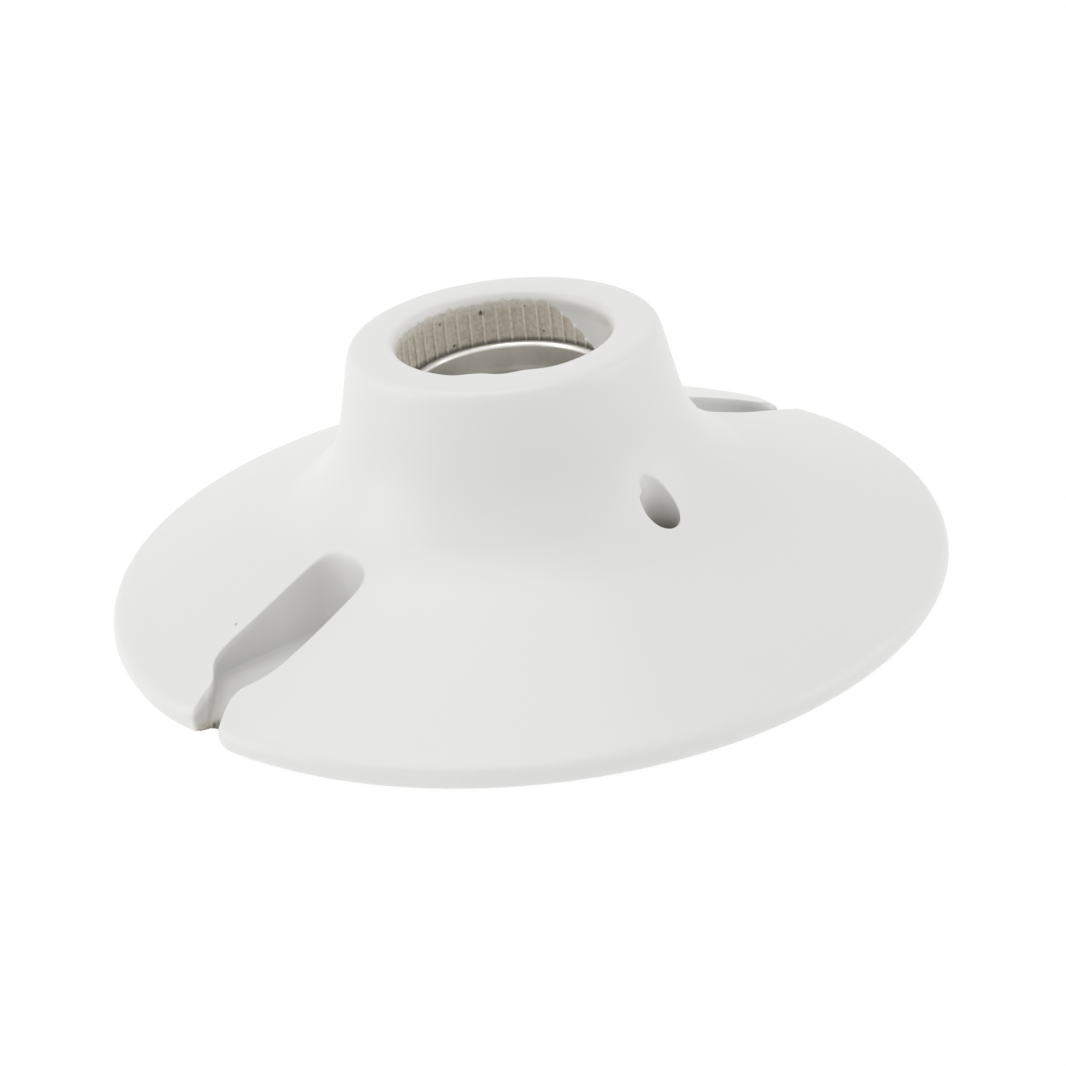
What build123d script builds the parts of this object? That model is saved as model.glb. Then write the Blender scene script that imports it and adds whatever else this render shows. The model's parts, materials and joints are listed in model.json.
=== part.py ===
import os
from math import cos, radians, tan

from build123d import *

# Porcelain lamp holder for a ceiling box, lip up, in millimetres.
# The origin is the centre of the foot plane. The screw slots lie along X and the terminals along Y.

# Porcelain outside
flange_d = 120.0
body_h = 36.3
foot_edge_r = 0.8
rim_corner_h = 2.6
rim_edge_r = 2.3
flange_slope = 21.5
cove_r = 19.5
neck_top_d = 43.2
neck_draft = 12.3
lip_outer_r = 2.0
lip_inner_r = 1.2

# Socket well
bore_d = 30.1
well_floor_z = 7.5
floor_t = 3.7
rib_count = 48
rib_h = 0.35
rib_w = 0.45
rib_top_gap = 2.0

# Underside
foot_w = 4.3
hollow_wall = 4.2
hub_d = 38.0
hub_hollow_h = 10.5
hollow_edge_r = 1.5
slot_pad_w = 17.2

# Screw slots: a head recess with a ledge, a long hole in the ledge and a gap through the rim
box_screws_near = 69.85
box_screws_far = 83.34
slot_w = 4.5
ledge_h = 2.6
recess_w = 10.4
recess_inner_x = 31.5
recess_corner_r = 3.4
recess_floor_r = 0.8
recess_edge_r = 0.5
gap_w = 4.4
gap_run = 6.4
gap_overlap = 0.9
gap_corner_r = 1.2
gap_lobe_r = 4.0
gap_sill_run = 3.6
gap_sill_h = 0.5

# Access holes over the terminals
access_d = 5.15
access_edge_r = 0.4
terminal_y = 28.2

# Screw shell
shell_thread_d = 26.6
shell_t = 0.4
shell_lip_depth = 7.4
shell_bead_d = 0.9
shell_cup_d = 26.0
shell_cup_h = 3.6
shell_step_h = 0.4
shell_base_t = 0.5
shell_base_hole_d = 17.2
shell_bend_r = 0.4

# Rivets
rivet_x = 10.5
rivet_d = 2.4
rivet_head_d = 4.0
rivet_head_h = 1.0
contact_rivet_y = 3.3
contact_rivet_d = 2.0
contact_rivet_head_d = 3.0
contact_rivet_head_h = 0.8
rivet_head_bevel = 0.4
rivet_play = 0.15

# Centre contact
contact_w = 4.4
contact_t = 0.5
contact_rise = 2.7
contact_foot_y = 1.4
contact_crown_y = -1.6
contact_tip_y = -4.6
contact_tip_drop = 1.8

# Terminal straps and screws
strap_t = 1.0
strap_w = 7.2
strap_lug_w = 5.6
strap_step = 1.6
strap_step_y = 20.6
strap_step_run = 2.4
strap_end_margin = 3.6
bend_r = 0.6
screw_d = 3.4
screw_play = 0.05
screw_head_d = 6.2
screw_head_h = 2.0
screw_below_strap = 3.2
screw_slot_w = 0.8
screw_slot_depth = 0.9
screw_head_bevel = 0.5
screw_tip_bevel = 0.4
corner_margin = 0.1

# The turned faces close on a line between the slots and the terminals
seam_turn = 45.0

# Room left over a cutter so that it clears the face it opens
over = 5.0

flange_r = flange_d / 2
bore_r = bore_d / 2
hub_r = hub_d / 2
slope = tan(radians(flange_slope))
draft = tan(radians(neck_draft))
floor_under_z = well_floor_z - floor_t
shell_floor_z = well_floor_z + shell_base_t
contact_top_z = well_floor_z + contact_t
strap_z = floor_under_z - strap_t
terminal_z = strap_z + strap_step + strap_t
shell_r = shell_thread_d / 2
shell_lip_z = body_h - shell_lip_depth
box_screw_x = (box_screws_near + box_screws_far) / 4
slot_run = (box_screws_far - box_screws_near) / 2
recess_outer_x = flange_r - gap_run


def flange_z(r):
    return rim_corner_h + (flange_r - r) * slope


def turned(points, radii=None):
    # One corner radius per point, or sharp corners all round
    outline = FilletPolyline(*points, radius=radii, close=True) if radii else Polyline(*points, close=True)
    return revolve(Plane.XZ * make_face(outline), Axis.Z)


def post(x, y, d, z_low, z_high):
    return Pos(x, y, z_low) * extrude(Circle(d / 2), z_high - z_low)


def box_between(x_low, x_high, width, z_low, z_high):
    size = (x_high - x_low, width, z_high - z_low)
    return Pos((x_low + x_high) / 2, 0, (z_low + z_high) / 2) * Box(*size)


def bent_strip(points, thickness, width):
    # Points run along the lower face, in Y and Z; bends away from the upper face are the tighter ones
    radii = []
    for before, at, after in zip(points, points[1:], points[2:]):
        turn = (at[0] - before[0]) * (after[1] - at[1]) - (at[1] - before[1]) * (after[0] - at[0])
        radii.append(bend_r + thickness if turn > 0 else bend_r)
    path = FilletPolyline(*points, radius=radii)
    section = Face(path.wire().offset_2d(thickness, side=Side.LEFT))
    return extrude(Plane.YZ * section, width / 2, both=True)


def round_end(strip, width):
    # Round the strip's far end in Y
    corners = strip.faces().sort_by(Axis.Y)[-1].edges().filter_by(Axis.Z)
    return fillet(corners, width / 2 - corner_margin)


def rivet(x, y, d, head_d, head_h, z_low, z_high):
    head_r = head_d / 2
    face_r = head_r - rivet_head_bevel
    bevel_z = head_h - rivet_head_bevel
    points = [
        (0, z_low - head_h),
        (face_r, z_low - head_h),
        (head_r, z_low - bevel_z),
        (head_r, z_low),
        (d / 2, z_low),
        (d / 2, z_high),
        (head_r, z_high),
        (head_r, z_high + bevel_z),
        (face_r, z_high + head_h),
        (0, z_high + head_h),
    ]
    return Pos(x, y, 0) * turned(points)


def porcelain_blank():
    # The neck line and the flange line meet at the corner that the cove rounds
    neck_r = neck_top_d / 2
    cove_x = (neck_r + (body_h - rim_corner_h - flange_r * slope) * draft) / (1 - slope * draft)
    points = [
        (0, floor_under_z),
        (hub_r, floor_under_z),
        (hub_r, 0),
        (flange_r, 0),
        (flange_r, rim_corner_h),
        (cove_x, flange_z(cove_x)),
        (neck_r, body_h),
        (bore_r, body_h),
        (bore_r, well_floor_z),
        (0, well_floor_z),
    ]
    radii = [0, 0, 0, foot_edge_r, rim_edge_r, cove_r, lip_outer_r, lip_inner_r, 0, 0]
    return Rot(0, 0, seam_turn) * turned(points, radii)


def underside_hollow():
    # A ring that follows the flange's wall, left solid along X to carry the screw slots
    wall_drop = hollow_wall / cos(radians(flange_slope))
    bend_x = flange_r - (hub_hollow_h + wall_drop - rim_corner_h) / slope
    foot_x = flange_r - (wall_drop - rim_corner_h) / slope
    foot_x = min(foot_x, flange_r - foot_edge_r - foot_w)
    foot_z = flange_z(foot_x) - wall_drop
    points = [
        (hub_r, -over),
        (hub_r, hub_hollow_h),
        (bend_x, hub_hollow_h),
        (foot_x, foot_z),
        (foot_x, -over),
    ]
    ring = turned(points, [0, hollow_edge_r, hollow_edge_r, 0, 0])
    return ring - box_between(-flange_r, flange_r, slot_pad_w, -2 * over, body_h)


def rib_gaps():
    # The bore's wall between the ribs
    rib_centre = bore_r + rib_h / 2
    ribs = PolarLocations(rib_centre, rib_count) * Rectangle(3 * rib_h, rib_w)
    top_z = body_h - rib_top_gap
    return Pos(0, 0, well_floor_z) * extrude(Circle(bore_r + rib_h) - ribs, top_z - well_floor_z)


def head_recess():
    # Blunt inner end and round outer end, down to the ledge that takes the screw's head
    recess_r = recess_w / 2
    round_x = recess_outer_x - recess_r
    straight = Pos((recess_inner_x + round_x) / 2, 0) * Rectangle(round_x - recess_inner_x, recess_w)
    straight = fillet(straight.vertices().group_by(Axis.X)[0], recess_corner_r)
    recess = extrude(straight + Pos(round_x, 0) * Circle(recess_r), body_h)
    recess = fillet(recess.edges().group_by(Axis.Z)[0], recess_floor_r)
    return Pos(0, 0, ledge_h) * recess


def rim_gap():
    # From the recess's round end out through the rim, over a sill that slopes down from the ledge.
    # One side of its mouth is a wide round lobe.
    inner_x = recess_outer_x - gap_overlap
    gap = Pos((inner_x + flange_r) / 2, 0) * Rectangle(flange_r - inner_x, gap_w)
    outline = gap + Pos(flange_r + over / 2, 0) * Rectangle(over, gap_w + 4 * gap_lobe_r)
    corner = outline.vertices().group_by(Axis.X)[1].sort_by(Axis.Y)[1]
    outline = fillet(corner, gap_corner_r)
    lobe = outline.vertices().filter_by_position(Axis.X, flange_r - corner_margin, flange_r + corner_margin)
    outline = fillet(lobe.sort_by(Axis.Y)[-2], gap_lobe_r)
    sill_x = recess_outer_x + gap_sill_run
    points = [
        (inner_x - over, -2 * over),
        (sill_x, -2 * over),
        (sill_x, gap_sill_h),
        (recess_outer_x, ledge_h),
        (inner_x - over, ledge_h),
    ]
    sill = extrude(Plane.XZ * make_face(Polyline(*points, close=True)), recess_w, both=True)
    return Pos(0, 0, -over) * extrude(outline, body_h) - sill


def long_hole():
    return Pos(box_screw_x, 0, -over) * extrude(SlotCenterToCenter(slot_run, slot_w), ledge_h + 2 * over)


def access_hole():
    return post(0, terminal_y, access_d, hub_hollow_h / 2, body_h)


def both_sides(cutter):
    return [cutter, Rot(0, 0, 180) * cutter]


def cut_with_soft_edge(body, cutters, edge_r):
    opened = body - cutters
    return fillet(new_edges(body, *cutters, combined=opened), edge_r)


def porcelain_body():
    body = cut_with_soft_edge(porcelain_blank(), both_sides(head_recess()), recess_edge_r)
    body = cut_with_soft_edge(body, both_sides(access_hole()), access_edge_r)
    body -= underside_hollow()
    body -= rib_gaps()
    for cutter in both_sides(rim_gap()) + both_sides(long_hole()):
        body -= cutter
    for x in (rivet_x, -rivet_x):
        body -= post(x, 0, rivet_d + 2 * rivet_play, 0, body_h)
    return body - post(0, contact_rivet_y, contact_rivet_d + 2 * rivet_play, 0, body_h)


def screw_shell():
    # A threaded wall with a rolled lip, over a narrower cup that is riveted to the well's floor
    cup_r = shell_cup_d / 2
    step_z = well_floor_z + shell_cup_h
    bead_r = shell_bead_d / 2
    base_hole_r = shell_base_hole_d / 2
    points = [
        (base_hole_r, well_floor_z),
        (cup_r + shell_t, well_floor_z),
        (cup_r + shell_t, step_z),
        (shell_r + shell_t, step_z + shell_step_h),
        (shell_r + shell_t, shell_lip_z - bead_r),
        (shell_r, shell_lip_z - bead_r),
        (shell_r, step_z + shell_step_h),
        (cup_r, step_z),
        (cup_r, shell_floor_z),
        (base_hole_r, shell_floor_z),
    ]
    shell = turned(points, [0, shell_bend_r + shell_base_t, 0, 0, 0, 0, 0, 0, shell_bend_r, 0])
    bead = Pos(shell_r + bead_r, shell_lip_z - bead_r) * Circle(bead_r)
    shell += revolve(Plane.XZ * bead, Axis.Z)
    for side in (1, -1):
        shell -= post(side * rivet_x, 0, rivet_d + 2 * rivet_play, 0, body_h)
    return shell


def centre_contact():
    foot_end = contact_rivet_y + contact_w / 2
    crown_z = well_floor_z + contact_rise
    points = [
        (contact_tip_y, crown_z - contact_tip_drop),
        (contact_crown_y, crown_z),
        (contact_foot_y, well_floor_z),
        (foot_end, well_floor_z),
    ]
    strip = round_end(bent_strip(points, contact_t, contact_w), contact_w)
    return strip - post(0, contact_rivet_y, contact_rivet_d + 2 * rivet_play, 0, body_h)


def terminal_arm(inner_y):
    points = [
        (inner_y, strap_z),
        (strap_step_y, strap_z),
        (strap_step_y + strap_step_run, strap_z + strap_step),
        (terminal_y + strap_end_margin, strap_z + strap_step),
    ]
    arm = round_end(bent_strip(points, strap_t, strap_w), strap_w)
    return arm - post(0, terminal_y, screw_d + 2 * screw_play, 0, body_h)


def live_strap():
    arm = terminal_arm(contact_rivet_y - strap_w / 2)
    return arm - post(0, contact_rivet_y, contact_rivet_d + 2 * rivet_play, 0, body_h)


def neutral_strap():
    # A flat quarter ring reaches from the shell rivet round to the terminal arm
    ring = Circle(rivet_x + strap_lug_w / 2) - Circle(rivet_x - strap_lug_w / 2)
    quarter = ring & Pos(-hub_r / 2, -hub_r / 2) * Rectangle(hub_r, hub_r)
    lug = quarter + Pos(-rivet_x, 0) * Circle(strap_lug_w / 2)
    strap = Rot(0, 0, 180) * terminal_arm(rivet_x - strap_lug_w / 2)
    strap += Pos(0, 0, strap_z) * extrude(lug, strap_t)
    return strap - post(-rivet_x, 0, rivet_d + 2 * rivet_play, 0, body_h)


def rivet_washer():
    washer = post(rivet_x, 0, strap_lug_w, strap_z, floor_under_z)
    return washer - post(rivet_x, 0, rivet_d + 2 * rivet_play, 0, body_h)


def shell_rivets():
    rivets = []
    for side in (1, -1):
        rivets.append(rivet(side * rivet_x, 0, rivet_d, rivet_head_d, rivet_head_h, strap_z, shell_floor_z))
    return Compound(children=rivets)


def contact_rivet():
    size = (contact_rivet_d, contact_rivet_head_d, contact_rivet_head_h)
    return rivet(0, contact_rivet_y, *size, strap_z, contact_top_z)


def terminal_screw(y):
    head_r = screw_head_d / 2
    shank_r = screw_d / 2
    head_top = terminal_z + screw_head_h
    tip_z = terminal_z - strap_t - screw_below_strap
    points = [
        (0, tip_z),
        (shank_r - screw_tip_bevel, tip_z),
        (shank_r, tip_z + screw_tip_bevel),
        (shank_r, terminal_z),
        (head_r, terminal_z),
        (head_r, head_top - screw_head_bevel),
        (head_r - screw_head_bevel, head_top),
        (0, head_top),
    ]
    screw = turned(points)
    slot_z = head_top - screw_slot_depth / 2
    screw -= Pos(0, 0, slot_z) * Box(screw_head_d + over, screw_slot_w, screw_slot_depth)
    return Pos(0, y, 0) * screw


pieces = {
    "porcelain_body": porcelain_body(),
    "screw_shell": screw_shell(),
    "shell_rivets": shell_rivets(),
    "rivet_washer": rivet_washer(),
    "neutral_strap": neutral_strap(),
    "neutral_screw": terminal_screw(-terminal_y),
    "centre_contact": centre_contact(),
    "contact_rivet": contact_rivet(),
    "live_strap": live_strap(),
    "live_screw": terminal_screw(terminal_y),
}

os.makedirs("parts", exist_ok=True)
for name, shape in pieces.items():
    export_step(shape, f"parts/{name}.step")
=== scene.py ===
import json
import math

import bmesh
import bpy
from mathutils import Matrix, Vector

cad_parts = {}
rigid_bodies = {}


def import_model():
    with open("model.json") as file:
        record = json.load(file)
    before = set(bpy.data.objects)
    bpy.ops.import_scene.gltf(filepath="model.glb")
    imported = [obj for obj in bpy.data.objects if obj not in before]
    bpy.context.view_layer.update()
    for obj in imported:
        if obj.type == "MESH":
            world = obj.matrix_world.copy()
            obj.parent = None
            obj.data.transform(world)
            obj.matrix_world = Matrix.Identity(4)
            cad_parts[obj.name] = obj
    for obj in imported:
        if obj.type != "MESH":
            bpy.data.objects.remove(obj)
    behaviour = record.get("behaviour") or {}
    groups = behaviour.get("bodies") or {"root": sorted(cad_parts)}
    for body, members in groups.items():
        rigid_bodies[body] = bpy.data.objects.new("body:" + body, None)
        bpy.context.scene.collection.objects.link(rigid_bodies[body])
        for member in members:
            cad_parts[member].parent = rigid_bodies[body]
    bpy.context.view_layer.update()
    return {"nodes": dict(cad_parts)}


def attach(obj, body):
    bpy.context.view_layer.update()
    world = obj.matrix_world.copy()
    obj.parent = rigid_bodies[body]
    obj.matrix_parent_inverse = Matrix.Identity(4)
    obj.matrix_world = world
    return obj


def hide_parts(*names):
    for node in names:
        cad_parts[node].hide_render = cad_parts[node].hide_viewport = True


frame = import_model()
print("frame loaded:", len(frame["nodes"]), "nodes")

mm = 0.001  # every size below is in millimetres
weld = 0.0005 * mm  # points closer than this become one
arcStep = 9.0  # degrees between the points of a rounded corner


# Small modelling helpers

def enter(mode):
    bpy.ops.object.mode_set(mode=mode)


def deselectAll():
    if bpy.context.object and bpy.context.object.mode != "OBJECT":
        enter("OBJECT")
    bpy.ops.object.select_all(action="DESELECT")


def makeActive(piece):
    deselectAll()
    piece.select_set(True)
    bpy.context.view_layer.objects.active = piece


def selectBy(kind):
    bpy.ops.mesh.select_mode(type=kind)


def selectMesh():
    bpy.ops.mesh.select_all(action="SELECT")


def extrude(move):
    bpy.ops.mesh.extrude_region_move(TRANSFORM_OT_translate={"value": move})


def smoothBy(degrees):
    bpy.ops.object.shade_smooth_by_angle(angle=math.radians(degrees))


def roundedPath(corners, closed=False):
    # corners are (across, along, radius); a radius above zero becomes an arc of short steps
    points = []
    count = len(corners)
    for index, (across, along, radius) in enumerate(corners):
        here = Vector((across, along))
        if radius == 0 or (not closed and index in (0, count - 1)):
            points.append(here)
            continue
        before = (Vector(corners[index - 1][:2]) - here).normalized()
        after = (Vector(corners[(index + 1) % count][:2]) - here).normalized()
        halfAngle = before.angle(after) / 2
        middle = (before + after).normalized()
        centre = here + middle * (radius / math.sin(halfAngle))
        turn = math.pi - 2 * halfAngle
        steps = max(2, math.ceil(math.degrees(turn) / arcStep))
        start = here + before * (radius / math.tan(halfAngle)) - centre
        side = 1 if before.cross(after) < 0 else -1
        for step in range(steps + 1):
            spoke = start.copy()
            spoke.rotate(Matrix.Rotation(side * turn * step / steps, 2))
            points.append(centre + spoke)
    return points


def drawOutline(name, points):
    # a plane merged to one point, then pulled out edge by edge
    deselectAll()
    bpy.ops.mesh.primitive_plane_add(size=mm)
    outline = bpy.context.object
    outline.name = name
    enter("EDIT")
    selectBy("VERT")
    selectMesh()
    bpy.ops.mesh.merge(type="CENTER")
    bpy.ops.transform.translate(value=points[0])
    for start, end in zip(points, points[1:]):
        extrude(end - start)
    selectMesh()
    return outline


def spun(name, corners, steps, closed=False):
    # turn a half section, (radius, height) in millimetres, once round Z
    path = roundedPath(corners, closed)
    if closed:
        path.append(path[0])
    outline = drawOutline(name, [Vector((across, 0, along)) * mm for across, along in path])
    bpy.ops.mesh.remove_doubles(threshold=weld)
    selectMesh()
    bpy.ops.mesh.spin(steps=steps, angle=math.tau, center=(0, 0, 0), axis=(0, 0, 1))
    selectMesh()
    bpy.ops.mesh.remove_doubles(threshold=weld)
    bpy.ops.mesh.normals_make_consistent(inside=False)
    enter("OBJECT")
    return outline


def applyModifier(piece, kind, **settings):
    makeActive(piece)
    modifier = piece.modifiers.new(kind.lower(), kind)
    for key, value in settings.items():
        setattr(modifier, key, value)
    bpy.ops.object.modifier_apply(modifier=modifier.name)


def carve(piece, *cutters):
    for cutter in cutters:
        applyModifier(piece, "BOOLEAN", object=cutter, operation="DIFFERENCE", solver="EXACT")
        bpy.data.objects.remove(cutter)


def softenEdges(piece, width, degrees):
    settings = {"limit_method": "ANGLE", "angle_limit": math.radians(degrees), "segments": 2}
    applyModifier(piece, "BEVEL", width=width * mm, **settings)
    smoothBy(degrees)


# Finishes: a Value wraps a socket, and an expression on it adds Math nodes

class Value:
    def __init__(self, paint, socket):
        self.paint = paint
        self.socket = socket

    def math(self, operation, *others):
        return self.paint.node("Math", {"operation": operation}, dict(enumerate((self, *others))))

    def __add__(self, other):
        return self.math("ADD", other)

    def __sub__(self, other):
        return self.math("SUBTRACT", other)

    def __rsub__(self, other):
        return self.math("MULTIPLY_ADD", -1, other)

    def __mul__(self, other):
        return self.math("MULTIPLY", other)

    def __pow__(self, other):
        return self.math("POWER", other)

    __radd__ = __add__
    __rmul__ = __mul__


class Paint:
    def __init__(self, owner):
        owner.use_nodes = True
        self.owner = owner
        self.tree = owner.node_tree

    def node(self, kind, settings, inputs, output=0):
        made = self.tree.nodes.new("ShaderNode" + kind)
        for key, setting in settings.items():
            setattr(made, key, setting)
        for key, value in inputs.items():
            self.feed(made.inputs[key], value)
        return Value(self, made.outputs[output])

    def feed(self, socket, value):
        if isinstance(value, Value):
            self.tree.links.new(value.socket, socket)
        elif socket.type == "RGBA":
            socket.default_value = (*value, 1)
        else:
            socket.default_value = value

    def dress(self, nodeName, sockets):
        for key, value in sockets.items():
            self.feed(self.tree.nodes[nodeName].inputs[key], value)

    def places(self):
        # the point on the part, in millimetres, and its three coordinates
        metres = self.node("TexCoord", {}, {}, "Object")
        place = self.node("VectorMath", {"operation": "SCALE"}, {0: metres, "Scale": 1 / mm})
        parts = [self.node("SeparateXYZ", {}, {0: place}, axis) for axis in range(3)]
        return place, *parts

    def ramp(self, value, low, high, most=1.0, shape="LINEAR"):
        # 0 up to low, most from high on, straight between
        inputs = {"Value": value, "From Min": low, "From Max": high, "To Max": most}
        return self.node("MapRange", {"interpolation_type": shape}, inputs)

    def step(self, value, low, high):
        # the same with a smooth run from 0 to 1
        return self.ramp(value, low, high, shape="SMOOTHSTEP")

    def noise(self, place, scale, detail=2.0, rough=0.5):
        inputs = {"Vector": place, "Scale": scale, "Detail": detail, "Roughness": rough}
        return self.node("TexNoise", {}, inputs)

    def stretched(self, place, scale):
        return self.node("VectorMath", {"operation": "MULTIPLY"}, {0: place, 1: scale})

    def near(self, place, point, inner, outer):
        # 1 at a point, 0 past the outer distance
        gap = self.node("VectorMath", {"operation": "DISTANCE"}, {0: place, 1: point}, "Value")
        return self.step(gap, outer, inner)

    def mix(self, factor, first, second):
        return self.node("Mix", {"data_type": "RGBA"}, {0: factor, 6: first, 7: second}, 2)

    def bump(self, height):
        # height in millimetres
        return self.node("Bump", {}, {"Height": height, "Distance": mm, "Strength": 1.0})


def wear(piece, finish):
    piece.data.materials.clear()
    piece.data.materials.append(finish.owner)


# Porcelain body

porcelain = {
    "flangeRadius": 60.0,
    "rimCorner": 2.6,
    "flangeSlope": 21.5,
    "coveRadius": 19.5,
    "coveCentre": (42.87, 30.31),
    "coveSpan": (23.81, 35.72),
    "hollowWall": 4.2,
    "hollowHeight": 10.5,
    "quarterLines": 13,
    "topLines": (0, 2.2, 5.2, 8.6, 11.8),
    "underLines": (0, 2.25, 5.2, 8.6, 8.85),
    "softEdge": 0.55,
    "padEdge": 0.5,
    "smoothLevels": 2,
}

recess = {
    "ledge": 2.6,
    "wallFoot": 0.8,
    "floorSupport": 0.7,
    "gapFrom": 53.45,
    "holeFrom": 32.6,
    "holeTo": 44.3,
    "holeEdge": 0.4,
    "holeHalf": 1.9,
    "softInner": 33.9,
    "innerPull": 0.97,
    "footCrease": 0.8,
}

access = {
    "terminal": 28.2,
    "ring": 2.85,
    "loops": (25.6, 28.2, 30.8),
    "reach": 2.2,
    "softEdge": 0.45,
    "wallTop": 0.5,
}

# where the near access hole's edge is uneven
chip = {"spot": (-1.5, -26.3, 19.6), "reach": 0.95, "move": (0.48, -0.4, 0)}

# glaze that has gathered on the inner lip: how far it stands in, by line round the body
lipBeads = {31: 0.7, 32: 0.95, 33: 0.35, 34: 0.55, 35: 0.8, 36: 0.15}
beadShares = {16.25: (0.7, 0.0), 15.45: (1.0, 0.28), 15.05: (0.8, 0.5)}

# the cage's loops run from the middle of the underside out, over the rim, up the neck and down the bore
# on the skin a loop has its radius, on the neck and in the bore its radius and height
skinLoops = [
    58.54, 57.2, 55.8, 54.6, 53.6, 50.5, 48.4, 46.7, 44.5,
    39.7, 34.9, 32.7, 31.5, 30.8, 28.2, 25.6, 24.2,
]
neckLoops = [
    (23.1, 29.4), (22.45, 32.4), (21.94, 34.73), (21.6, 35.65), (20.95, 36.15),
    (19.99, 36.3), (18.1, 36.3), (16.25, 36.3), (15.45, 35.98), (15.05, 35.1),
    (15.06, 34.6), (15.14, 34.1), (15.28, 33.4), (15.4, 32.6), (15.4, 22.0),
    (15.4, 8.4), (15.39, 7.5), (14.5, 7.5), (8.0, 7.5), (0, 7.5),
]

# all of them: zone, radius, height, and the height under the screw slots where it differs
porcelainLoops = [
    ("under", 0, 3.8, 3.8),
    ("under", 9.0, 3.8, 3.8),
    ("under", 18.2, 3.8, 3.8),
    ("under", 19.0, 3.8, 3.8),
    ("under", 19.01, 4.6, 3.1),
    ("under", 19.02, 8.2, 0.7),
    ("under", 19.25, 9.8, 0),
    ("ceiling", 20.6, 10.5, 0),
    ("ceiling", 25.6, 10.5, 0),
    ("ceiling", 28.2, 10.5, 0),
    ("ceiling", 30.8, 9.5, 0),
    ("ceiling", 32.7, 8.8, 0),
    ("ceiling", 34.9, 8.0, 0),
    ("ceiling", 39.7, 6.1, 0),
    ("ceiling", 44.5, 4.2, 0),
    ("ceiling", 46.7, 3.3, 0),
    ("ceiling", 50.0, 2.0, 0),
    ("ceiling", 53.1, 0.8, 0),
    ("foot", 54.9, 0.05, 0),
    ("foot", 55.8, 0, 0),
    ("foot", 57.2, 0, 0),
    ("foot", 59.0, 0, 0),
    ("rim", 59.6, 0.1, None),
    ("rim", 59.95, 0.5, None),
    ("rim", 60.0, 0.95, None),
    ("rim", 59.83, 1.9, None),
    ("rim", 59.35, 2.65, None),
    *[("skin", radius, None, None) for radius in skinLoops],
    *[("neck", radius, height, None) for radius, height in neckLoops],
]

# how the lines of the cage run round the slots and the access holes
hiddenZones = ("under", "ceiling", "foot")
cage = {
    "slotLines": 3,
    "footFrom": 54.9,
    "footRun": 4,
    "shortestHidden": 19.0,
    "shortestSeen": 31.0,
    "shiftLines": (5, 11),
    "outerLoops": (31.0, 36.0),
    "outerShift": 1.7,
    "holeLoops": (30.0, 31.0),
    "holeShift": 1.4,
}

# limits that pick the cage's faces and edges: places, parts of a normal, an angle in degrees
pick = {
    "recessSpan": (31.5, 53.2),
    "recessCorners": (34.2, 49.6),
    "recessHalf": 4.8,
    "cornerHalf": 4.0,
    "recessLow": 2.7,
    "recessFacing": 0.3,
    "gapHalf": 1.3,
    "gapTop": 9,
    "lobeHalf": 2.4,
    "lobeFlare": 0.8,
    "flareFrom": 57,
    "footLevel": 0.03,
    "footHalf": 0.3,
    "footFrom": 56,
    "innerEdge": (30.0, 31.35),
    "innerHalf": 4.6,
    "innerLow": 12.5,
    "endFrom": 52.8,
    "endHalf": 1.8,
    "endFacing": 0.7,
    "gapArea": (52, 8),
    "creaseLevel": 0.06,
    "creaseHalf": 5.2,
    "creaseAngle": 25,
    "level": 0.05,
    "slotSide": 30,
    "accessSide": 20,
    "accessLow": 12,
    "accessFacing": (0.2, -0.5),
    "padSide": 0.1,
    "padTo": 54.2,
}


def changed(places, changes):
    # a copy of a table of places with some of its lines' points moved
    moved = {name: {**places.get(name, {}), **points} for name, points in changes.items()}
    return {**places, **moved}


# plan places round the recess, gap and long hole: loop, then line, and how far a point is let down
# the near slot's plain side and wide lobe, then what differs at the far slot, which is a little tighter
slotPlain = {
    ("rim", 59.6): {1: (59.15, 0.3)},
    ("rim", 59.95): {1: (59.3, 0.4)},
    ("rim", 60.0): {1: (59.3, 0.65)},
    ("rim", 59.83): {1: (59.0, 1.05)},
    ("rim", 59.35): {1: (58.6, 1.2)},
    ("skin", 58.54): {1: (58.05, 1.25)},
    ("skin", 57.2): {1: (57.0, 1.45)},
    ("skin", 55.8): {1: (55.8, 2.05)},
    ("skin", 54.6): {1: (54.5, 2.1)},
    ("skin", 53.6): {0: (53.7, 0), 1: (53.75, 2.45), 2: (52.35, 4.55)},
    ("skin", 50.5): {1: (51.2, 2.2), 2: (50.9, 5.65)},
    ("skin", 48.4): {1: (48.4, 2.2), 2: (48.6, 5.85)},
    ("skin", 46.7): {1: (46.2, 2.25), 2: (46.0, 5.6)},
    ("skin", 44.5): {0: (44.12, 0), 1: (43.4, 1.73), 2: (43.5, 5.45)},
    ("skin", 39.7): {1: (39.5, 2.25), 2: (39.5, 5.25)},
    ("skin", 34.9): {1: (34.93, 2.25), 2: (35.0, 5.05)},
    ("skin", 32.7): {0: (32.48, 0), 1: (33.2, 1.73), 2: (33.5, 4.8)},
    ("skin", 31.5): {0: (31.4, 0), 1: (31.45, 2.0), 2: (32.15, 3.75)},
    ("foot", 59.0): {0: (58.9, -0.2), 1: (58.85, 0.3)},
    ("foot", 57.2): {0: (58.2, -0.4), 1: (58.45, 0.1)},
    ("foot", 55.8): {0: (57.8, -0.6), 1: (58.15, -0.1)},
    ("foot", 54.9): {0: (57.5, -0.7), 1: (57.9, -0.25)},
    ("ceiling", 53.1): {0: (57.1, -0.8), 1: (57.6, -0.4)},
    ("ceiling", 44.5): {0: (44.12, 0), 1: (43.4, 1.73)},
    ("ceiling", 39.7): {1: (39.5, 2.25)},
    ("ceiling", 34.9): {1: (34.93, 2.25)},
    ("ceiling", 32.7): {0: (32.48, 0), 1: (33.2, 1.73)},
}
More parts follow.
